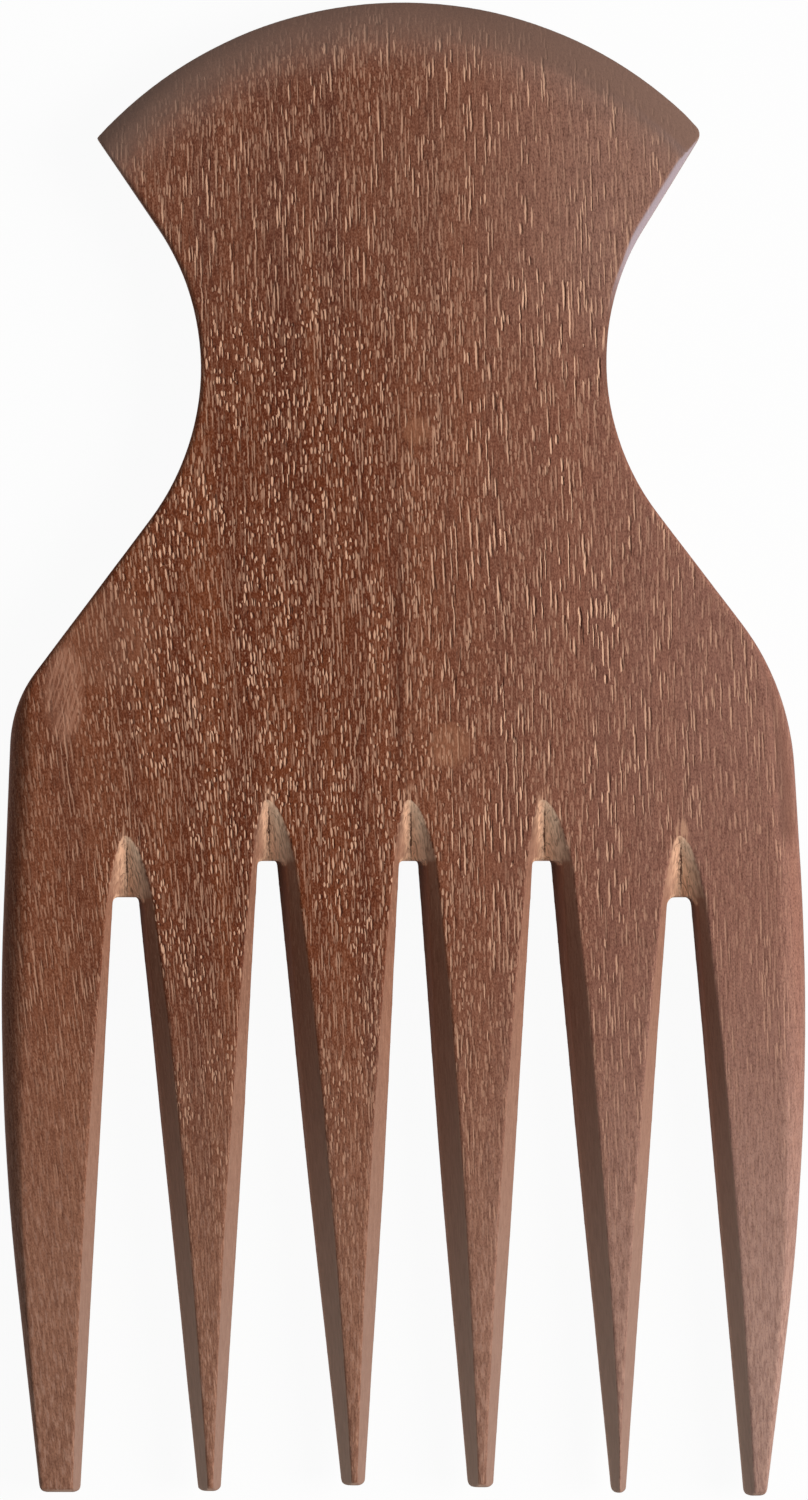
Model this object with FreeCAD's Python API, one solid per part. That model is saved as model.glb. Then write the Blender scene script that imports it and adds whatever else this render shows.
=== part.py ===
import FreeCAD, Part
import math
import os

# An afro pick carved from one board, lying on its back.
# X runs across the comb, Y along it towards the head, and Z up out of its face.
# The origin is under the middle of the comb, on the surface that it lies on.
# All sizes are in millimetres.

# Board
THICKNESS = 9.0
EDGE_ROUND = 0.5             # easing of the handle's edges

# Lengths along the comb, from the crown down to the tips
CROWN_RISE = 14.0            # the crown above the head's corners
HEAD_LENGTH = 26.0           # the head's corners to the waist
HANDLE_LENGTH = 52.0         # the waist to the roots of the inner slots
INNER_SLOT_DEPTH = 68.0      # slots 2 to 4
OUTER_SLOT_DEPTH = 64.1      # slots 1 and 5, which stop short of the others

# Widths and curves of the outline
HEAD_WIDTH = 65.3
HEAD_SHIFT = -0.6            # the head's corners sit a little left of the middle
HEAD_CORNER_EXTRA = 0.25     # the head's corners are rounder than its edges by this much
LEFT_HEAD_ROUND = 0.5        # easing of the head's sides
RIGHT_HEAD_ROUND = 0.95
CROWN_RADIUS = 44.2
CROWN_SHIFT = -0.1           # and the crown's highest point a little right of theirs
WAIST_WIDTH = 43.4
WAIST_RADIUS = 27.0
OVERALL_WIDTH = 86.1
BULGE_HEIGHT = 43.0          # the widest place above the tips
BULGE_RADIUS = 280.0
LEFT_SHOULDER_INSET = 1.05   # the left shoulder's corner in from the widest place
RIGHT_SHOULDER_INSET = 1.75
LEFT_FLANK = 35.3            # the waist down to the left shoulder's corner
RIGHT_FLANK = 33.3
LEFT_SHOULDER_ROUND = 13.5
RIGHT_SHOULDER_ROUND = 28.0
TIP_INSET = 4.15             # the outer tips in from the widest place

# Crown, rolled over towards the face and the back
CROWN_ROLL_WIDTH = 4.2
CROWN_ROLL_DEPTH = 2.6
CROWN_ROLL_SWELL = 0.5       # how far the roll stands out from a flat bevel

# Slots from left to right. Each is sawn by hand, so no two are alike.
# Their places and the widths of their mouths are shares of the overall width.
SLOT_ROOT = (-0.346, -0.170, 0.006, 0.172, 0.343)
SLOT_MOUTH = (-0.329, -0.152, 0.016, 0.185, 0.350)
SLOT_MOUTH_WIDTH = (0.146, 0.151, 0.129, 0.147, 0.146)
SLOT_BELLY = (0.05, 0.25, 0.3, 0.2, 0.03)    # how far the walls bow inwards, halfway along
BELLY_RADIUS = 900.0
INNER_ROOT_WIDTH = 1.8
OUTER_ROOT_WIDTH = 2.5
SLOT_ROUND = (0.5, 0.4, 0.4, 0.3, 0.9)       # corners of a slot's end
SAW_LEAN_ROOT = (1.0, 1.5, 1.4, 1.6, 0.8)    # sideways lean of the walls over the thickness
SAW_LEAN_TIP = 0.3

# Facets filed along the tines, and the notches gouged at the slots' ends.
# A facet's widths are those at the slot's end, where it is fullest and at the tips.
NARROW_FACET = (0.6, 1.1, 0.85)              # on the right of a tine, seen from its face
WIDE_FACET = (0.7, 1.25, 0.85)               # on the left of a tine, beside the leaning wall
FACET_RUN = 15.0             # the slot's end down to where the facets are fullest
FACET_SLOPE = 1.5            # depth of a facet for each millimetre of its width
NOTCH_LENGTH = 6.6
NOTCH_DEPTH = 3.2
NOTCH_VALLEY = 0.3           # width of the notch's floor
NOTCH_STEPS = 4              # straight stretches in the notch's curved edge

# Tines
OUTER_ROUND = 3.0            # rounding of the comb's two outer edges
TAPER_LENGTH = 60.0          # stretch over which a tine thins, up from the tips
TAPER_DROP = 2.1             # how far each face falls over that stretch
TIP_SHORT = (0.4, 0.5, 1.1, 0.9, 0.3, 0.0)
TIP_ROUND = 0.8

# Sections at which the board is divided into its named regions
HEAD_SECTION = 12.0          # above the waist
SHOULDER_SECTION = 27.0      # above the roots of the inner slots

# Cutting tools run past the wood by this much
OVERRUN = 3.0
TOP_CLEAR = 1.0
TINY = 1e-4
ARC_ROOM = 0.98              # share of a straight run that the arcs at its ends may take

LENGTH = CROWN_RISE + HEAD_LENGTH + HANDLE_LENGTH + INNER_SLOT_DEPTH
CROWN_Y = LENGTH / 2
CORNER_Y = CROWN_Y - CROWN_RISE
WAIST_Y = CORNER_Y - HEAD_LENGTH
TIP_Y = -LENGTH / 2
INNER_ROOT_Y = TIP_Y + INNER_SLOT_DEPTH
OUTER_ROOT_Y = TIP_Y + OUTER_SLOT_DEPTH
HEAD_SECTION_Y = WAIST_Y + HEAD_SECTION
SHOULDER_SECTION_Y = INNER_ROOT_Y + SHOULDER_SECTION
CROWN_CENTRE_Y = CROWN_Y - CROWN_RADIUS
SLOTS = len(SLOT_ROOT)
TINES = SLOTS + 1
CLEAR = OVERALL_WIDTH + LENGTH


def point(u, v):
    return FreeCAD.Vector(u, v, 0)


def in_plan(height):
    """Places a drawing's points on a level plane at this height."""
    return lambda p: FreeCAD.Vector(p.x, p.y, height)


def in_side_view(p):
    """Places a drawing's points on a plane seen from the comb's left edge."""
    return FreeCAD.Vector(-CLEAR, p.x, p.y)


def half_angle(before, corner, after):
    return (before - corner).getAngle(after - corner) / 2


def rounded_outline(corners, place):
    """A closed outline of straight runs, with a tangent arc at each corner (point, radius)."""
    count = len(corners)
    points = [corner for corner, _ in corners]
    halves = [half_angle(points[i - 1], points[i], points[(i + 1) % count]) for i in range(count)]
    reaches = [radius / math.tan(half) for (_, radius), half in zip(corners, halves)]
    runs = [points[i - 1].distanceToPoint(points[i]) for i in range(count)]
    shares = [min(1, ARC_ROOM * run / max(reaches[i - 1] + reaches[i], TINY)) for i, run in enumerate(runs)]
    joins = []
    for i, (corner, radius) in enumerate(corners):
        if radius == 0:
            joins.append((corner, None, corner))
            continue
        share = min(shares[i], shares[(i + 1) % count])
        to_before = (points[i - 1] - corner).normalize()
        to_after = (points[(i + 1) % count] - corner).normalize()
        inward = (to_before + to_after).normalize()
        middle = corner + inward * share * radius * (1 / math.sin(halves[i]) - 1)
        reach = share * reaches[i]
        joins.append((corner + to_before * reach, middle, corner + to_after * reach))
    edges = []
    for i, (start, middle, end) in enumerate(joins):
        if middle is not None:
            edges.append(Part.Arc(place(start), place(middle), place(end)).toShape())
        following = joins[(i + 1) % len(joins)][0]
        edges.append(Part.LineSegment(place(end), place(following)).toShape())
    return Part.Wire(edges)


def sharp(points):
    return [(p, 0) for p in points]


def upright(corners):
    """A block with this outline in plan, right through the thickness."""
    face = Part.Face(rounded_outline(corners, in_plan(-OVERRUN)))
    return face.extrude(FreeCAD.Vector(0, 0, THICKNESS + 2 * OVERRUN))


def corner_beyond(half_width, level, radius, before, after, outward):
    """Finds the corner whose arc just reaches this half width, on the right-hand side."""
    corner = point(half_width, level)
    for _ in range(40):
        inward = (before - corner).normalize() + (after - corner).normalize()
        to_centre = inward.normalize() * (radius / math.sin(half_angle(before, corner, after)))
        corner = point(half_width - to_centre.x - outward * radius, level)
    return corner


def side_corners(head_half, crown_shift, head_round, shoulder_inset, flank, shoulder_round):
    """Corners of one side of the outline, drawn on the right, from above the crown to the tip."""
    head_corner = point(head_half, CORNER_Y)
    crown_slope = (head_half - crown_shift) / (CORNER_Y - CROWN_CENTRE_Y)
    above_crown = point(crown_shift + OVERRUN, CORNER_Y + (head_half - crown_shift - OVERRUN) * crown_slope)
    shoulder_corner = point(OVERALL_WIDTH / 2 - shoulder_inset, WAIST_Y - flank)
    tip = point(OVERALL_WIDTH / 2 - TIP_INSET, TIP_Y)
    waist_corner = corner_beyond(WAIST_WIDTH / 2, WAIST_Y, WAIST_RADIUS,
                                 head_corner, shoulder_corner, -1)
    bulge = corner_beyond(OVERALL_WIDTH / 2, TIP_Y + BULGE_HEIGHT, BULGE_RADIUS,
                          shoulder_corner, tip, 1)
    below = tip + (tip - bulge).normalize() * 2 * OVERRUN
    return [(above_crown, 0), (head_corner, head_round + HEAD_CORNER_EXTRA), (waist_corner, WAIST_RADIUS),
            (shoulder_corner, shoulder_round), (bulge, BULGE_RADIUS), (below, 0)]


def mirrored(corners):
    return [(point(-p.x, p.y), radius) for p, radius in reversed(corners)]


RIGHT_SIDE = side_corners(HEAD_WIDTH / 2 + HEAD_SHIFT, CROWN_SHIFT, RIGHT_HEAD_ROUND,
                          RIGHT_SHOULDER_INSET, RIGHT_FLANK, RIGHT_SHOULDER_ROUND)
LEFT_SIDE = mirrored(side_corners(HEAD_WIDTH / 2 - HEAD_SHIFT, -CROWN_SHIFT, LEFT_HEAD_ROUND,
                                  LEFT_SHOULDER_INSET, LEFT_FLANK, LEFT_SHOULDER_ROUND))


def is_outer(k):
    return k in (0, SLOTS - 1)


def root_y(k):
    return OUTER_ROOT_Y if is_outer(k) else INNER_ROOT_Y


def root_width(k):
    return OUTER_ROOT_WIDTH if is_outer(k) else INNER_ROOT_WIDTH


def root_x(k):
    return SLOT_ROOT[k] * OVERALL_WIDTH


def along_slot(k, y, at_root, at_tip):
    """A size that changes evenly along a slot, at level y."""
    return at_root + (at_tip - at_root) * (root_y(k) - y) / (root_y(k) - TIP_Y)


def facet_width(k, y, widths):
    """A facet's width at level y: it grows from the slot's end and then shrinks to the tips."""
    at_root, fullest, at_tip = widths
    full_y = root_y(k) - FACET_RUN
    if y > full_y:
        return at_root + (fullest - at_root) * (root_y(k) - y) / FACET_RUN
    return fullest + (at_tip - fullest) * (full_y - y) / (full_y - TIP_Y)


def slot_walls(k, y):
    """The X of a slot's straight left and right edges at level y, as seen through the comb."""
    middle = along_slot(k, y, root_x(k), SLOT_MOUTH[k] * OVERALL_WIDTH)
    half = along_slot(k, y, root_width(k), SLOT_MOUTH_WIDTH[k] * OVERALL_WIDTH) / 2
    return middle - half, middle + half


def saw_outline(k, height):
    """A slot's outline at one height: it moves to the right towards the comb's face."""
    lift = height / THICKNESS
    stops = [(root_y(k), 0, min(SLOT_ROUND[k], root_width(k) / 2)),
             ((root_y(k) + TIP_Y) / 2, SLOT_BELLY[k], BELLY_RADIUS),
             (TIP_Y - OVERRUN, 0, 0)]
    left_side = []
    right_side = []
    for y, belly, radius in stops:
        left, right = slot_walls(k, y)
        lean = along_slot(k, y, SAW_LEAN_ROOT[k], SAW_LEAN_TIP)
        filed = facet_width(k, y, NARROW_FACET) * FACET_SLOPE / THICKNESS
        left_side.append((point(left + belly + (lift - 1 + filed) * lean, y), radius))
        right_side.append((point(right - belly + (lift - filed) * lean, y), radius))
    return rounded_outline(left_side + right_side[::-1], in_plan(height))


def saw_cut(k):
    heights = (-OVERRUN, THICKNESS + OVERRUN)
    return Part.makeLoft([saw_outline(k, height) for height in heights], True, True)


def facet_reaches(k, y, flip):
    """How far the facets reach to the left and right of a slot, on the face or the back."""
    narrow = facet_width(k, y, NARROW_FACET)
    wide = facet_width(k, y, WIDE_FACET) + along_slot(k, y, SAW_LEAN_ROOT[k], SAW_LEAN_TIP)
    return (wide, narrow) if flip else (narrow, wide)


def facet_section(y, corners, flip):
    """One four-sided section of a facet cut, turned over for the comb's back."""
    points = [FreeCAD.Vector(x, y, THICKNESS - z if flip else z) for x, z in corners]
    return Part.makePolygon(points + points[:1])


def notch_section(k, share, flip):
    """The notch at a slot's end, from its point on the face (0) down to the slot (1)."""
    left, right = slot_walls(k, root_y(k))
    left_reach, right_reach = facet_reaches(k, root_y(k), flip)
    valley = (left + right) / 2
    foot = NOTCH_VALLEY / 2
    shape_share = max(share, 1 / NOTCH_STEPS)
    spread = math.sqrt(shape_share)
    rise = 1 + TOP_CLEAR / (shape_share * NOTCH_DEPTH)
    left_half = foot + ((valley - left + left_reach) * spread - foot) * rise
    right_half = foot + ((right - valley + right_reach) * spread - foot) * rise
    top = THICKNESS + TOP_CLEAR
    floor = THICKNESS - share * NOTCH_DEPTH
    corners = [(valley - left_half, top), (valley - foot, floor),
               (valley + foot, floor), (valley + right_half, top)]
    return facet_section(root_y(k) + (1 - share) * NOTCH_LENGTH, corners, flip)


def file_section(k, y, flip):
    """The facets on both sides of a slot at level y, where the tines' faces have dropped a little."""
    left, right = slot_walls(k, y)
    left_reach, right_reach = facet_reaches(k, y, flip)
    drop = TAPER_DROP * max(0, (TIP_Y + TAPER_LENGTH - y) / TAPER_LENGTH) ** 2
    rise = (drop + TOP_CLEAR) / FACET_SLOPE
    sink = NOTCH_DEPTH / FACET_SLOPE
    top = THICKNESS + TOP_CLEAR
    floor = THICKNESS - drop - NOTCH_DEPTH
    corners = [(left - left_reach - rise, top), (left - left_reach + sink, floor),
               (right + right_reach - sink, floor), (right + right_reach + rise, top)]
    return facet_section(y, corners, flip)


def facet_cut(k, flip):
    """The facets on both sides of a slot and the notch at its end, on the face or the back."""
    notch = [notch_section(k, i / NOTCH_STEPS, flip) for i in range(NOTCH_STEPS + 1)]
    facets = [file_section(k, y, flip) for y in (root_y(k) - FACET_RUN, TIP_Y - OVERRUN)]
    return Part.makeLoft(notch + facets, True, True)


def slot_cut(k):
    """Everything that is taken away at one slot: the saw cut and the facets on both sides."""
    return saw_cut(k).fuse([facet_cut(k, False), facet_cut(k, True)])


def level_line(y):
    return [point(-CLEAR, y), point(CLEAR, y)]


def root_line():
    """The line through the slots' roots that parts the tines from the shoulder."""
    points = [point(-CLEAR, OUTER_ROOT_Y)]
    for k in range(SLOTS):
        flat = root_width(k) / 2 + max(facet_reaches(k, root_y(k), False))
        points += [point(root_x(k) - flat, root_y(k)), point(root_x(k) + flat, root_y(k))]
    return points + [point(CLEAR, OUTER_ROOT_Y)]


def region(shape, lower, upper):
    """The part of a shape between two lines of points that run from left to right."""
    return shape.common(upright(sharp(lower + upper[::-1]))).Solids[0]


def board():
    """The board sawn to the comb's outline below the crown, before any slot is cut."""
    face = Part.Face(rounded_outline(RIGHT_SIDE + LEFT_SIDE, in_plan(0)))
    return face.extrude(FreeCAD.Vector(0, 0, THICKNESS))


def level_edges(solid):
    """Edges round a slab's face and back, without those that run straight across it."""
    return [edge for edge in solid.Edges
            if edge.BoundBox.ZLength < TINY < edge.BoundBox.YLength]


def crown_roll(flip):
    """A ring that rolls the crown's edge over, on the face or the back."""
    start = FreeCAD.Vector(CROWN_RADIUS - CROWN_ROLL_WIDTH, 0, -TINY)
    end = FreeCAD.Vector(CROWN_RADIUS, 0, -CROWN_ROLL_DEPTH)
    swell = FreeCAD.Vector(CROWN_ROLL_DEPTH, 0, CROWN_ROLL_WIDTH).normalize() * CROWN_ROLL_SWELL
    lead_in = start + FreeCAD.Vector(-OVERRUN, 0, TOP_CLEAR)
    outside = FreeCAD.Vector(CROWN_RADIUS + OVERRUN, 0, -CROWN_ROLL_DEPTH)
    above = FreeCAD.Vector(CROWN_RADIUS + OVERRUN, 0, TOP_CLEAR)
    arc = Part.Arc(start, (start + end) * 0.5 + swell, end).toShape()
    profile = Part.Face(Part.Wire([arc] + Part.makePolygon([end, outside, above, lead_in, start]).Edges))
    ring = profile.revolve(FreeCAD.Vector(), FreeCAD.Vector(0, 0, 1), 360)
    if flip:
        ring = ring.mirror(FreeCAD.Vector(), FreeCAD.Vector(0, 0, 1))
    ring.translate(FreeCAD.Vector(CROWN_SHIFT, CROWN_CENTRE_Y, 0 if flip else THICKNESS))
    return ring


def crown_disc():
    """A round disc, rolled over at its rim, that the head is trimmed to."""
    disc = Part.makeCylinder(CROWN_RADIUS, THICKNESS, FreeCAD.Vector(CROWN_SHIFT, CROWN_CENTRE_Y, 0))
    return disc.cut([crown_roll(False), crown_roll(True)])


def ease(slab, edge, lower_round, upper_round):
    """Rounds a long side from one edge on: the rounding changes along that edge, from its lower
    to its upper end, and stays the same beyond both ends."""
    rising = edge.Vertexes[0].Point.y < edge.Vertexes[-1].Point.y
    first, last = (lower_round, upper_round) if rising else (upper_round, lower_round)
    return slab.makeFillet(first, last, [edge])


def head(blank):
    """The rounded top of the handle, with its sides eased and its crown rolled over."""
    slab = region(blank, level_line(HEAD_SECTION_Y), level_line(CLEAR))
    for side, side_round in ((-1, LEFT_HEAD_ROUND), (1, RIGHT_HEAD_ROUND)):
        for height in (0, THICKNESS):
            edges = [edge for edge in level_edges(slab)
                     if edge.CenterOfMass.x * side > 0 and abs(edge.CenterOfMass.z - height) < TINY]
            lowest = min(edges, key=lambda edge: edge.CenterOfMass.y)
            slab = ease(slab, lowest, EDGE_ROUND, side_round)
    return slab.common(crown_disc()).Solids[0]


def eased_board(blank):
    """The board below the head: its long edges are eased more from the shoulders to the tips."""
    slab = region(blank, level_line(TIP_Y - OVERRUN), level_line(HEAD_SECTION_Y))
    for shoulder_corner, _ in (LEFT_SIDE[2], RIGHT_SIDE[3]):
        for height in (0, THICKNESS):
            corner = FreeCAD.Vector(shoulder_corner.x, shoulder_corner.y, height)
            arc = min(level_edges(slab), key=lambda edge: edge.CenterOfMass.distanceToPoint(corner))
            slab = ease(slab, arc, OUTER_ROUND, EDGE_ROUND)
    return slab


def waist(slab):
    """The narrow part of the handle, between the fingers."""
    return region(slab, level_line(SHOULDER_SECTION_Y), level_line(HEAD_SECTION_Y))


def shoulder(slab, cutters):
    """The widest part of the handle, which carries the tines, with the slots' notches."""
    return region(slab, root_line(), level_line(SHOULDER_SECTION_Y)).cut(cutters)


def tip_corner(side, y):
    """The outer edge of an outer tine at level y, carried on straight past the bulge."""
    (bulge, _), (below, _) = side
    return point(bulge.x + (below.x - bulge.x) * (bulge.y - y) / (bulge.y - below.y), y)


def tine_plan(i):
    """The outline in plan that a tine's tip is cut to; its upper end lies in the slots."""
    tip_y = TIP_Y + TIP_SHORT[i]
    top_y = INNER_ROOT_Y + OVERRUN
    left_edge = (LEFT_SIDE[1], LEFT_SIDE[0])
    right_edge = (RIGHT_SIDE[-2], RIGHT_SIDE[-1])
    if i == 0:
        top_left, tip_left = tip_corner(left_edge, top_y), tip_corner(left_edge, tip_y)
    else:
        top_left, tip_left = point(root_x(i - 1), top_y), point(slot_walls(i - 1, tip_y)[1], tip_y)
    if i == TINES - 1:
        top_right, tip_right = tip_corner(right_edge, top_y), tip_corner(right_edge, tip_y)
    else:
        top_right, tip_right = point(root_x(i), top_y), point(slot_walls(i, tip_y)[0], tip_y)
    return upright([(top_left, 0), (tip_left, TIP_ROUND), (tip_right, TIP_ROUND), (top_right, 0)])


def tine_profile(i):
    """A tine seen from the side: it thins along a slow curve to a blunt tip."""
    tip_y = TIP_Y + TIP_SHORT[i]
    bend_y = TIP_Y + TAPER_LENGTH / 2
    top_y = INNER_ROOT_Y + OVERRUN
    turn = math.atan2(TAPER_DROP, bend_y - tip_y)
    bend_radius = (bend_y - tip_y - 2 * TIP_ROUND) / math.tan(turn / 2)
    corners = [(point(top_y, 0), 0), (point(bend_y, 0), bend_radius),
               (point(tip_y, TAPER_DROP), TIP_ROUND),
               (point(tip_y, THICKNESS - TAPER_DROP), TIP_ROUND),
               (point(bend_y, THICKNESS), bend_radius), (point(top_y, THICKNESS), 0)]
    face = Part.Face(rounded_outline(corners, in_side_view))
    return face.extrude(FreeCAD.Vector(2 * CLEAR, 0, 0))


def tine(i, slab, cutters):
    """One tine: trimmed to its plan and its profile, then cut by the slots beside it."""
    trimmed = slab.common(tine_plan(i)).common(tine_profile(i))
    return trimmed.cut(cutters[max(i - 1, 0):i + 1])


os.makedirs("parts", exist_ok=True)
blank = board()
slab = eased_board(blank)
cutters = [slot_cut(k) for k in range(SLOTS)]
nodes = {"head": head(blank), "waist": waist(slab), "shoulder": shoulder(slab, cutters)}
comb_end = region(slab, level_line(TIP_Y - OVERRUN), root_line())
for i in range(TINES):
    nodes[f"tine_{i + 1}"] = tine(i, comb_end, cutters)
for name, shape in nodes.items():
    print(f"{name}: {len(shape.Solids)} solid, valid {shape.isValid()}, {shape.Volume:.0f} mm3")
    shape.exportStep(f"parts/{name}.step")
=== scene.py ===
# %% [markdown]
# # An afro pick carved from one board
# The comb on the real object is a single board of open-pored hardwood: sawn to outline, slotted,
# filed along the tines and sanded by hand. The solids give its shape and size in nine regions.
# This lesson joins the regions into one seamless board, softens it as sandpaper does, and gives it
# a wood whose grain runs through the whole board.

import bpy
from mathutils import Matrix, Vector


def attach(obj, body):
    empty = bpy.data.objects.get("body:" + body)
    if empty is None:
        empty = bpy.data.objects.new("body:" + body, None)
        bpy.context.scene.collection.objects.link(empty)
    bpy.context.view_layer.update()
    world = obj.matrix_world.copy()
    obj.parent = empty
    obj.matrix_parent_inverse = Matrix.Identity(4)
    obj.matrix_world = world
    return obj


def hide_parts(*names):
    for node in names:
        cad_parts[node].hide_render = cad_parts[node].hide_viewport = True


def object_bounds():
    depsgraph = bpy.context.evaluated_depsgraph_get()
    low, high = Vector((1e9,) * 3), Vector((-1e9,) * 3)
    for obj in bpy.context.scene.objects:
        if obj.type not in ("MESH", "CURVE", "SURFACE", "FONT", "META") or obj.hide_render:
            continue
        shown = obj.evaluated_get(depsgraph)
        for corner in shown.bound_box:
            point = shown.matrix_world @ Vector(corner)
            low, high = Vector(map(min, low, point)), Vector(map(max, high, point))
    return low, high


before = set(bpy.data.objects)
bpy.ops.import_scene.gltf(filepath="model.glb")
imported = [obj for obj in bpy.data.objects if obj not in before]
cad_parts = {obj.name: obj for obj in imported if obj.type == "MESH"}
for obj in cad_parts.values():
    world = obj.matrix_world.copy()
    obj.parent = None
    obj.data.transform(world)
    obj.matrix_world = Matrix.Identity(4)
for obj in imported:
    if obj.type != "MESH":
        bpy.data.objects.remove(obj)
cad_low, cad_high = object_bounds()
print("regions of the board:", sorted(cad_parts))
print("size in millimetres:", [round(1000 * side, 2) for side in cad_high - cad_low])

# %% Blender's modules and the unit
import bmesh
import bpy

MM = 0.001

# %% [markdown]
# ## One board again
# The regions meet face to face. Joined in one mesh, each of them is still a closed skin of its own.
# Their shared faces could be found and deleted, but the next step rebuilds the surface from voxels,
# and that keeps only the outer skin of closed shapes that touch.

# %% Joining the regions
CLOSE = 0.001 * MM
joined = bmesh.new()
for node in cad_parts.values():
    region = bmesh.new()
    region.from_mesh(node.data)
    bmesh.ops.remove_doubles(region, verts=region.verts, dist=CLOSE)
    open_edges = sum(not shade_edge.is_manifold for shade_edge in region.edges)
    print(f"{node.name}: {len(region.faces)} faces, {open_edges} open edges")
    closed = bpy.data.meshes.new("region")
    region.to_mesh(closed)
    region.free()
    joined.from_mesh(closed)
    bpy.data.meshes.remove(closed)
skins = bpy.data.meshes.new("board_skins")
joined.to_mesh(skins)
joined.free()
board = bpy.data.objects.new("board", skins)
bpy.context.scene.collection.objects.link(board)

# %% [markdown]
# ## Writing node trees as sums
# Both the sanding and the wood are node trees. Adding each node by hand is slow to read, so one small
# class wraps a socket: sums written with it become Math nodes, and any other node comes from its
# `node` method, which takes the node's type, its settings and the values or links of its sockets.

# %% The socket class


class Value:
    def __init__(self, tree, socket=None):
        self.tree = tree
        self.socket = socket

    def node(self, kind, settings, inputs, output=0):
        made = self.tree.nodes.new(kind)
        for name, setting in settings.items():
            setattr(made, name, setting)
        for name, value in inputs.items():
            if isinstance(value, Value):
                self.tree.links.new(value.socket, made.inputs[name])
            else:
                made.inputs[name].default_value = value
        return Value(self.tree, made.outputs[output])

    def other(self, output):
        return Value(self.tree, self.socket.node.outputs[output])

    def math(self, operation, first, second):
        return self.node("ShaderNodeMath", {"operation": operation}, {0: first, 1: second})

    def __add__(self, other):
        return self.math("ADD", self, other)

    def __sub__(self, other):
        return self.math("SUBTRACT", self, other)

    def __rsub__(self, other):
        return self.math("SUBTRACT", other, self)

    def __mul__(self, other):
        return self.math("MULTIPLY", self, other)

    def __truediv__(self, other):
        return self.math("DIVIDE", self, other)

    __radd__ = __add__
    __rmul__ = __mul__


# %% [markdown]
# ## Sanding by hand
# A saw and a file leave crisp edges, and sandpaper takes them off unevenly. The skin is first rebuilt
# from small voxels, so that every place has points to move. A Geometry Nodes tree then blurs the
# points' places, which rounds edges and leaves flat faces flat, and pushes the surface in and out by
# a few hundredths of a millimetre, because no hand-worked board is quite true.

# %% The sanding tree
sanding = bpy.data.node_groups.new("sanding", "GeometryNodeTree")
sanding.is_modifier = True
SANDING_INPUTS = {"Board": ("NodeSocketGeometry", None), "Strokes": ("NodeSocketInt", 1),
                  "Pressure": ("NodeSocketFloat", 0.7), "Unevenness": ("NodeSocketFloat", 0.12 * MM),
                  "Patches per metre": ("NodeSocketFloat", 70.0), "Seed": ("NodeSocketFloat", 4.0),
                  "Wood": ("NodeSocketMaterial", None)}
identifiers = {}
for name, (kind, _) in SANDING_INPUTS.items():
    identifiers[name] = sanding.interface.new_socket(name, in_out="INPUT", socket_type=kind).identifier
sanding.interface.new_socket("Sanded", in_out="OUTPUT", socket_type="NodeSocketGeometry")
start = Value(sanding).node("NodeGroupInput", {}, {}, "Board")
point_place = start.node("GeometryNodeInputPosition", {}, {})
blur = sanding.nodes.new("GeometryNodeBlurAttribute")
blur.data_type = "FLOAT_VECTOR"
blur_in = next(s for s in blur.inputs if s.name == "Value" and s.enabled)
blur_out = next(s for s in blur.outputs if s.enabled)
sanding.links.new(point_place.socket, blur_in)
sanding.links.new(start.other("Strokes").socket, blur.inputs["Iterations"])
sanding.links.new(start.other("Pressure").socket, blur.inputs["Weight"])
blurred = Value(sanding, blur_out)
rounded = start.node("GeometryNodeSetPosition", {}, {"Geometry": start, "Position": blurred})
hollows = start.node("ShaderNodeTexNoise", {"noise_dimensions": "4D"},
                     {"W": start.other("Seed"), "Scale": start.other("Patches per metre"), "Detail": 2.0})
push = (hollows - 0.5) * start.other("Unevenness")
normal = start.node("GeometryNodeInputNormal", {}, {})
offset = start.node("ShaderNodeVectorMath", {"operation": "SCALE"}, {0: normal, "Scale": push})
uneven = start.node("GeometryNodeSetPosition", {}, {"Geometry": rounded, "Offset": offset})
smooth = start.node("GeometryNodeSetShadeSmooth", {}, {"Geometry": uneven})
whole = start.node("GeometryNodeRealizeInstances", {}, {"Geometry": smooth})
finished = start.node("GeometryNodeSetMaterial", {}, {"Geometry": whole, "Material": start.other("Wood")})
exit_node = sanding.nodes.new("NodeGroupOutput")
sanding.links.new(finished.socket, exit_node.inputs["Sanded"])
print("sanding tree:", len(sanding.nodes), "nodes")

# %% [markdown]
# ## The sanded board
# The voxels have to be smaller than the narrowest facet, or the filed edges would melt away. That
# makes far more faces than the board needs, so a Decimate modifier thins them where the wood is flat.
# Weighted normals then keep the flat faces flat in shading, right up to their edges.

# %% Voxels, sanding and thinning
VOXEL = 0.2 * MM
TRIANGLES = 190_000
FLATNESS = 90
wood = bpy.data.materials.new("hardwood")
voxels = board.modifiers.new("voxels", "REMESH")
voxels.mode = "VOXEL"
voxels.voxel_size = VOXEL
sand = board.modifiers.new("sanding", "NODES")
sand.node_group = sanding
for name, (_, value) in SANDING_INPUTS.items():
    if value is not None:
        sand[identifiers[name]] = value
sand[identifiers["Wood"]] = wood
depsgraph = bpy.context.evaluated_depsgraph_get()
dense = bpy.data.meshes.new_from_object(board.evaluated_get(depsgraph))
print("sanded board:", len(dense.polygons), "faces")
board.modifiers.clear()
board.data = dense
thin = board.modifiers.new("thinning", "DECIMATE")
thin.ratio = TRIANGLES / sum(len(p.vertices) - 2 for p in dense.polygons)
flat = board.modifiers.new("flat faces stay flat", "WEIGHTED_NORMAL")
flat.weight = FLATNESS
depsgraph = bpy.context.evaluated_depsgraph_get()
comb_mesh = bpy.data.meshes.new_from_object(board.evaluated_get(depsgraph))
bpy.data.objects.remove(board)
comb = bpy.data.objects.new("comb", comb_mesh)
bpy.context.scene.collection.objects.link(comb)
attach(comb, "root")
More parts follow.
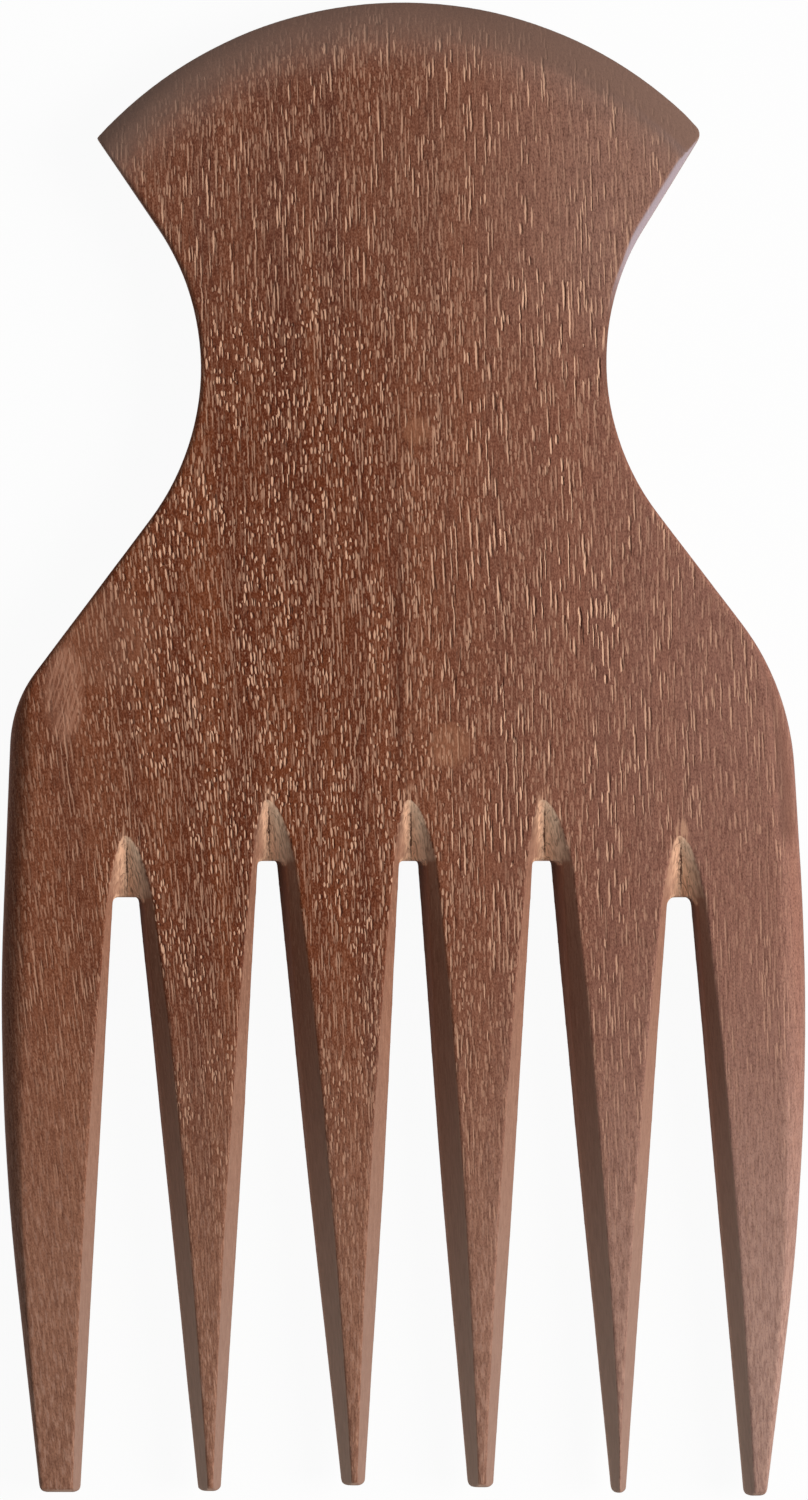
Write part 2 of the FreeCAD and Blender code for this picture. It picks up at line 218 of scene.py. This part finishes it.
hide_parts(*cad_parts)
print("comb:", sum(len(p.vertices) - 2 for p in comb_mesh.polygons), "triangles")

# %% [markdown]
# ## Where a point of the wood is
# The wood is described in millimetres in the comb's own frame: x across, y along the grain and z
# through the thickness. Every layer below is a sum of these, so the grain runs on from the face over
# the filed facets to the back, as it does in a real board.

# %% Places and slopes
wood.use_nodes = True
wood.node_tree.nodes.clear()
paint = Value(wood.node_tree)


def parts_of(vector):
    across = paint.node("ShaderNodeSeparateXYZ", {}, {0: vector}, "X")
    return across, across.other("Y"), across.other("Z")


metres = paint.node("ShaderNodeTexCoord", {}, {}, "Object")
place = paint.node("ShaderNodeVectorMath", {"operation": "SCALE"}, {0: metres, "Scale": 1 / MM})
x, y, z = parts_of(place)
normal_x, normal_y, normal_z = parts_of(paint.node("ShaderNodeNewGeometry", {}, {}, "Normal"))

# %% [markdown]
# ## Colours and masks
# A maker looks at wood and says: darker here, paler towards there. These short functions say the
# same. `fade` gives a soft border, `spot` a soft oval, `noise` an even disorder drawn out along the
# grain, and `mix` lays one colour over another. Colours are written as a screen shows them.

# %% Colour and mask functions


def screen(red, green, blue):
    """A colour as a screen shows it, from 0 to 255, made linear."""
    parts = [part / 255 for part in (red, green, blue)]
    return tuple(p / 12.92 if p <= 0.04045 else ((p + 0.055) / 1.055) ** 2.4 for p in parts) + (1.0,)


def fade(value, start, end):
    """0 up to start, 1 from end on, and a smooth change between them."""
    return paint.node("ShaderNodeMapRange", {"interpolation_type": "SMOOTHSTEP"},
                      {"Value": value, "From Min": start, "From Max": end})


def mix(share, first, second):
    return paint.node("ShaderNodeMix", {"data_type": "RGBA"}, {0: share, 6: first, 7: second}, 2)


def distance_from(value, centre):
    return paint.node("ShaderNodeMath", {"operation": "ABSOLUTE"}, {0: value - centre})


def spot(centre_x, centre_y, half_width, half_length):
    """1 inside an upright oval on the board and 0 outside it, with a soft edge."""
    aside = (x - centre_x) / half_width
    ahead = (y - centre_y) / half_length
    return fade(aside * aside + ahead * ahead, 1.2, 0.4)


def vector(across, along, through):
    return paint.node("ShaderNodeCombineXYZ", {}, {0: across, 1: along, 2: through})


def stretched(where, across, along):
    """Places counted in cells that are this many millimetres across and along the grain."""
    cell = (1 / across, 1 / along, 1 / across)
    return paint.node("ShaderNodeVectorMath", {"operation": "MULTIPLY"}, {0: where, 1: cell})


def noise(where, across, along, detail=2.0):
    return paint.node("ShaderNodeTexNoise", {},
                      {"Vector": stretched(where, across, along), "Scale": 1.0, "Detail": detail})


# %% [markdown]
# ## The run of the grain
# A tree seldom grows straight. On this board the grain is nearly upright, with a slow wander, and
# leans more at the lower left. Shifting x by a little of y bends every later layer in the same way.

# %% Grain that leans and wanders
LEAN = 0.03
EXTRA_LEAN = 0.09
LEAN_STARTS = 20.0
WANDER = 1.4
RIPPLE = 0.16
lower_left = fade(x, 0.0, -38.0) * fade(y, 35.0, 5.0)
wander = WANDER * (noise(place, 18.0, 40.0, 1.0) - 0.5)
ripple = RIPPLE * (noise(place, 0.7, 0.9, 1.0) - 0.5)
across = x + LEAN * y + EXTRA_LEAN * lower_left * (y - LEAN_STARTS) + wander + ripple
grain = vector(across, y, z)
print("lean of the grain in millimetres for each 10 mm:", 10 * LEAN, "to", round(10 * (LEAN + EXTRA_LEAN), 2))

# %% [markdown]
# ## Ribbons, fibres and specks
# The ground colour of such wood changes slowly across the board in ribbons, where the fibres lean
# one way and then the other. Over that lie fine fibres and specks. The board is darker on the left
# and painted paler, a little mauve, towards the right, the lamp's side, which is painted light, and the
# tines are painted paler towards their ends, which is painted light too.

# %% The ground colour
DARK_WOOD = screen(58, 20, 8)
PALE_WOOD = screen(186, 136, 110)
ribbons = noise(grain, 4.0, 80.0, 3.0)
fibres = noise(grain, 0.22, 2.4, 3.0)
specks = noise(grain, 0.13, 0.26, 2.0)
right_side = fade(x, -10.0, 42.0)
tine_end = fade(y, -15.0, -70.0)
ground = mix(fade(ribbons, 0.32, 0.68), screen(86, 35, 14), screen(112, 56, 29))
ground = mix(0.3 * fade(across, -1.5, 1.5), ground, screen(130, 77, 50))
# Painted light: the board is painted paler and a little mauve towards the right, the lamp's side, and paler
# still at the upper right of the head.
ground = mix(0.75 * right_side, ground, screen(142, 102, 90))
ground = mix(0.6 * fade(x, 2.0, 26.0) * fade(y, 36.0, 56.0), ground, screen(156, 119, 105))
ground = mix(0.35 * fade(x, -18.0, -38.0) * fade(y, 22.0, -10.0), ground, screen(138, 86, 62))
# Painted light: the tines are painted paler towards their ends, where their thinning faces tilt to the light,
# and paler still on the lamp's side.
painted_light_on_tines = mix(right_side, screen(146, 105, 85), screen(160, 127, 115))
ground = mix(tine_end * (0.75 + 0.25 * right_side), ground, painted_light_on_tines)
ground = mix(0.3 * fade(y, 34.0, 60.0), ground, screen(120, 84, 70))
rough = 1.0 - 0.3 * tine_end - 0.2 * right_side
ground = mix(0.45 * rough * fade(fibres, 0.5, 0.3), ground, DARK_WOOD)
ground = mix(0.2 * rough * fade(fibres, 0.5, 0.75), ground, PALE_WOOD)
ground = mix(0.6 * rough * fade(specks, 0.5, 0.28), ground, DARK_WOOD)
ground = mix(0.3 * rough * fade(specks, 0.5, 0.72), ground, PALE_WOOD)
scuffs = noise(grain, 0.26, 1.5, 4.0)
ground = mix(0.3 * tine_end * fade(scuffs, 0.52, 0.38), ground, screen(96, 62, 50))
ground = mix(0.3 * tine_end * fade(scuffs, 0.5, 0.64), ground, screen(186, 148, 130))
print("wood up to its ground colour:", len(wood.node_tree.nodes), "nodes")

# %% [markdown]
# ## Pores
# The pale dashes are vessels, the tree's water pipes, cut open along their length and filled with
# pale deposit. A Voronoi texture gives each place its nearest vessel. How far the place is to the
# side of it and ahead of it makes the dash, and each vessel's random colour makes it longer, wider
# or fainter than the next. The light comes from the right, so a dark edge of painted shade lies on
# that side of each.

# %% The pores


def pores(cell_across, cell_along, half_width, half_length, seed):
    """Masks of the pale cores and the painted shade edges on the right of one kind of pore."""
    cells = stretched(vector(across + seed, y + seed, z + seed), cell_across, cell_along)
    vessel = paint.node("ShaderNodeTexVoronoi", {}, {"Vector": cells, "Scale": 1.0}, "Position")
    offset = paint.node("ShaderNodeVectorMath", {"operation": "SUBTRACT"}, {0: cells, 1: vessel})
    width_chance, length_chance, strength = parts_of(vessel.other("Color"))
    offset_x, offset_y, _ = parts_of(offset)
    aside = offset_x * cell_across / (half_width * (0.6 + 0.8 * width_chance))
    ahead = offset_y * cell_along / (half_length * (0.4 + 1.2 * length_chance))
    ends = ahead * ahead
    shown = fade(strength, -0.1, 0.7)
    core = shown * fade(aside * aside + ends, 1.1, 0.5)
    shade_edge = shown * fade((aside - 1.7) * (aside - 1.7) + ends, 1.2, 0.4)
    return core, shade_edge


SHORT_PORE = {"cell_across": 0.55, "cell_along": 1.25, "half_width": 0.1, "half_length": 0.52, "seed": 11.0}
LONG_PORE = {"cell_across": 0.62, "cell_along": 3.2, "half_width": 0.086, "half_length": 1.4, "seed": 47.0}
clusters = noise(grain, 4.0, 12.0, 2.0)
left_half = fade(x, 16.0, -10.0)
left_rim = fade(x, -26.0, -36.0)
head_end = fade(y, 42.0, 58.0)
short_share = (0.25 + 0.6 * left_half) * (1.0 - 0.6 * head_end) * (1.0 - 0.7 * left_rim)
short_share = short_share * (0.2 + 0.8 * fade(clusters, 0.36, 0.56))
long_share = (1.0 - 0.6 * left_half * (1.0 - head_end)) * (1.0 - 0.25 * head_end)
long_share = long_share * (1.0 - 0.35 * fade(x, 2.0, 20.0) * fade(y, 5.0, -20.0))
long_share = long_share * (0.3 + 0.7 * fade(clusters, 0.62, 0.42))
short_core, short_shade_edge = pores(**SHORT_PORE)
long_core, long_shade_edge = pores(**LONG_PORE)
filed = fade(normal_z, 0.86, 0.66) * fade(distance_from(x, 0.0), 40.0, 36.0) * fade(y, 0.0, -4.0)
worn = (1.0 - 0.8 * fade(y, -15.0, -60.0)) * (1.0 - 0.5 * fade(x, 18.0, 34.0))
worn = worn * (1.0 - 0.75 * fade(normal_z, 0.97, 0.75))
core = worn * paint.math("MAXIMUM", short_core * short_share, long_core * long_share)
shade_edge = worn * paint.math("MAXIMUM", short_shade_edge * short_share, long_shade_edge * long_share)
# Painted shade: a dark edge on the right side of each pore, where its groove would be in shade.
grained = mix(0.95 * shade_edge, ground, screen(44, 14, 5))
grained = mix(0.9 * core, grained, screen(240, 190, 158))
for name, pore in (("short", SHORT_PORE), ("long", LONG_PORE)):
    print(name, "pores in millimetres: about", 2 * pore["half_width"], "by", 2 * pore["half_length"])

# %% [markdown]
# ## Marks of the work
# The crown was sanded across its end grain, which is greyer and nearly without dashes. Its colour
# is also painted light: paler where it turns from the lamp, and darker where it turns to it. The facets
# and notches were cut last and stay paler, palest where the knife crossed the fibres, and the
# notches are split a little along them. Their sides turned from the lamp are painted paler still, as
# painted light. Some of these colours follow the photograph's light as much as the wood: facets turned
# from the lamp are paler, and edges turned to it darker or greyer, so that they look as quiet as they
# do there. The rim along the waist's right side is painted shade, and the pale lilac grey along the
# head's right side is a painted reflection.

# %% Crown and facets
CROWN_CENTRE = 35.8
from_crown = paint.math("SQRT", x * x + (y - CROWN_CENTRE) * (y - CROWN_CENTRE), 0.0)
crown = fade(from_crown, 36.0, 43.0) * fade(y, 50.0, 60.0)
# Painted light: the crown is greyer than the face, and painted paler where it turns from the lamp.
crown_colour = mix(fade(normal_x, 0.0, -0.4), screen(132, 105, 93), screen(160, 128, 113))
marked = mix(0.65 * crown, grained, crown_colour)
# Painted shade: the crown's end grain is a little darker, and painted darker still where it turns to the
# lamp.
end_grain_and_painted_shade = fade(normal_y, 0.0, 0.25) * fade(y, 52.0, 60.0)
marked = mix(end_grain_and_painted_shade * (0.1 + 0.35 * fade(normal_x, -0.05, 0.15)), marked, screen(92, 70, 60))
# Painted light: lit and shaded copies of the filed wood, with the facets turned from the lamp painted paler
# than those turned to it.
to_right = fade(normal_x, -0.35, 0.35)
shaded_facet = mix(tine_end, screen(184, 133, 107), screen(214, 178, 157))
lit_facet = mix(tine_end, screen(156, 117, 97), screen(144, 116, 103))
facet_share = 0.3 + 0.4 * fibres + 0.3 * tine_end
marked = mix(facet_share * filed, marked, mix(to_right, shaded_facet, lit_facet))
# The rounded rim along the right side, turned to the lamp, gets painted shade and a painted reflection.
lamp_side_rim = fade(normal_z, 0.99, 0.9) * fade(normal_x, 0.05, 0.25)
lamp_side_rim = lamp_side_rim * fade(normal_y, 0.3, 0.0) * fade(z, 7.0, 8.2)
# Painted shade: the rim along the waist's right side is painted darker.
marked = mix(0.6 * lamp_side_rim * fade(y, 52.0, 46.0) * fade(y, -12.0, -8.0), marked, screen(92, 60, 48))
# Painted reflection: the rim along the head's right side is painted a pale lilac grey.
marked = mix(0.8 * lamp_side_rim * fade(y, 46.0, 54.0), marked, screen(160, 148, 156))
print("wood up to its facets:", len(wood.node_tree.nodes), "nodes")

# %% Notches and their splits
SLOT_ENDS = ((-29.6, -12.6), (-14.4, -8.9), (0.8, -8.9), (15.1, -8.7), (29.7, -12.4))
notch = fade(normal_y, -0.1, -0.3) * fade(y, -19.0, -16.5) * fade(y, -1.0, -4.0) * fade(z, 4.0, 5.5)
# The notches' fresh cuts are pale, and the flank turned from the lamp is painted paler than the lit one,
# which is painted light.
fresh_cut_and_painted_light = mix(to_right, screen(246, 208, 176), screen(216, 172, 142))
marked = mix((0.5 + 0.5 * fade(fibres, 0.36, 0.6)) * notch, marked, fresh_cut_and_painted_light)
splits = distance_from(noise(grain, 0.9, 14.0, 2.0), 0.5)
marked = mix(0.5 * notch * fade(splits, 0.02, 0.006), marked, DARK_WOOD)
for crack_x, crack_y in SLOT_ENDS:
    frayed = spot(crack_x, crack_y + 2.6, 0.9, 2.6) * fade(fibres, 0.47, 0.58)
    marked = mix(0.6 * frayed, marked, screen(196, 150, 122))
    marked = mix(0.85 * spot(crack_x + 0.5 * (fibres - 0.5), crack_y, 0.1, 2.9), marked, DARK_WOOD)
print("split notches:", len(SLOT_ENDS))

# %% [markdown]
# ## Marks of the tree and of the sandpaper
# Two pale spots and a dark vein come from the tree. At the left shoulder a patch was sanded askew,
# which leaves fine pale lines across the grain. Each is a soft oval at its own place on the board.

# %% Spots, vein and sanded patch
PALE_SPOT = screen(160, 108, 80)
marked = mix(0.4 * spot(5.0, 0.4, 2.4, 2.6), marked, PALE_SPOT)
marked = mix(0.35 * spot(1.5, 34.0, 1.6, 1.6), marked, PALE_SPOT)
vein = spot(-0.4, 9.5, 0.4, 15.0)
marked = mix(0.4 * vein, marked, DARK_WOOD)
askew = noise(vector(x - 0.3 * y, y, z), 0.3, 6.0, 1.0)
sanded = spot(-36.4, 6.0, 2.4, 5.5)
marked = mix(0.25 * spot(-32.0, 12.0, 6.0, 6.0), marked, screen(146, 100, 78))
marked = mix(sanded * (0.2 + 0.4 * fade(askew, 0.45, 0.62)), marked, screen(178, 128, 104))

# %% [markdown]
# ## The finished surface
# Fibres and pores are felt as well as seen, so they also lift and sink the surface by a few hundredths
# of a millimetre. The wood is sanded and hardly polished: rough, with little gloss, and rougher still
# where the file went over it.

# %% Relief and gloss
height = 0.012 * (fibres + specks) * (1.0 - 0.7 * filed) - 0.05 * core - 0.03 * shade_edge
bump = paint.node("ShaderNodeBump", {}, {"Height": height, "Distance": MM, "Strength": 1.0})
surface = paint.node("ShaderNodeBsdfPrincipled", {}, {
    "Base Color": marked, "Roughness": 0.6 + 0.2 * filed, "Specular IOR Level": 0.08, "Normal": bump})
end = wood.node_tree.nodes.new("ShaderNodeOutputMaterial")
wood.node_tree.links.new(surface.socket, end.inputs["Surface"])
print("wood:", len(wood.node_tree.nodes), "nodes")

# %% [markdown]
# ## The floor
# The comb lies on a plain white floor. To the eye it is nearly white by itself, and the small matt share
# that is left carries the comb's shadow. To the light it is a plain grey, so it adds no extra light.

# %% Floor
FLOOR_SIDE = 6.0
FLOOR_GREY = 0.7
WHITE_SHARE = 0.95
bpy.ops.mesh.primitive_plane_add(size=FLOOR_SIDE)
floor = bpy.context.object
floor.name = "floor"
white = bpy.data.materials.new("white_floor")
white.use_nodes = True
white.node_tree.nodes.clear()
sheet = Value(white.node_tree)


def seen_by_eye(tree):
    """1 for rays that show a surface, directly or in a mirror or glass, and 0 for rays that light it."""
    ray = tree.node("ShaderNodeLightPath", {}, {}, "Is Camera Ray")
    mirrored = tree.math("MAXIMUM", ray.other("Is Glossy Ray"), ray.other("Is Transmission Ray"))
    return tree.math("MAXIMUM", ray, mirrored)


matt = sheet.node("ShaderNodeBsdfDiffuse", {}, {"Color": (FLOOR_GREY, FLOOR_GREY, FLOOR_GREY, 1.0)})
glow = sheet.node("ShaderNodeEmission", {}, {"Strength": 1.0})
shown = sheet.node("ShaderNodeMixShader", {}, {0: WHITE_SHARE * seen_by_eye(sheet), 1: matt, 2: glow})
end = white.node_tree.nodes.new("ShaderNodeOutputMaterial")
white.node_tree.links.new(shown.socket, end.inputs["Surface"])
floor.data.materials.append(white)
print("floor:", FLOOR_SIDE, "m wide")

# %% [markdown]
# ## The light
# One soft, slightly warm light stands to the right, and a weak, cooler fill comes from all round. That
# lights the filed facets on the right of each tine and leaves those on its left in shade.

# %% Light
LAMP_SIDE = 0.5
LAMP_WATTS = 8.5
LAMP_PLACE = (0.6, 0.0, 0.52)
FILL = 0.2
lamp = bpy.data.lights.new("softbox", "AREA")
lamp.shape = "RECTANGLE"
lamp.size, lamp.size_y = LAMP_SIDE, LAMP_SIDE
lamp.energy = LAMP_WATTS
lamp.color = (1.0, 0.97, 0.94)
softbox = bpy.data.objects.new("softbox", lamp)
softbox.location = LAMP_PLACE
softbox.rotation_euler = (-softbox.location).to_track_quat("-Z", "Y").to_euler()
bpy.context.scene.collection.objects.link(softbox)
world = bpy.data.worlds.new("studio")
bpy.context.scene.world = world
world.use_nodes = True
air = Value(world.node_tree)
world.node_tree.nodes.clear()
fill = air.node("ShaderNodeBackground", {}, {"Color": (0.85, 0.97, 1.05, 1.0), "Strength": FILL})
backdrop = air.node("ShaderNodeBackground", {}, {"Color": (1.0, 1.0, 1.0, 1.0), "Strength": 1.0})
sky = air.node("ShaderNodeMixShader", {}, {0: seen_by_eye(air), 1: fill, 2: backdrop})
end = world.node_tree.nodes.new("ShaderNodeOutputWorld")
world.node_tree.links.new(sky.socket, end.inputs["Surface"])
print("softbox:", LAMP_WATTS, "W, and a fill of", FILL)

# %% [markdown]
# ## The camera
# The photograph shows the comb square on, with no side of it widened by closeness. So the camera looks
# straight down from far off, and its long lens just takes in the comb's length.

# %% Camera
FACE = cad_high.z
VIEW_HEIGHT = 160.4 * MM
DISTANCE = 1.5
lens = bpy.data.cameras.new("camera")
lens.sensor_fit = "AUTO"
lens.sensor_width = 36.0
lens.lens = lens.sensor_width * DISTANCE / VIEW_HEIGHT
camera = bpy.data.objects.new("camera", lens)
camera.location = (0.05 * MM, -0.1 * MM, FACE + DISTANCE)
bpy.context.scene.collection.objects.link(camera)
bpy.context.scene.camera = camera
bpy.context.scene.view_settings.view_transform = "Standard"
print("lens in millimetres:", round(lens.lens, 1))
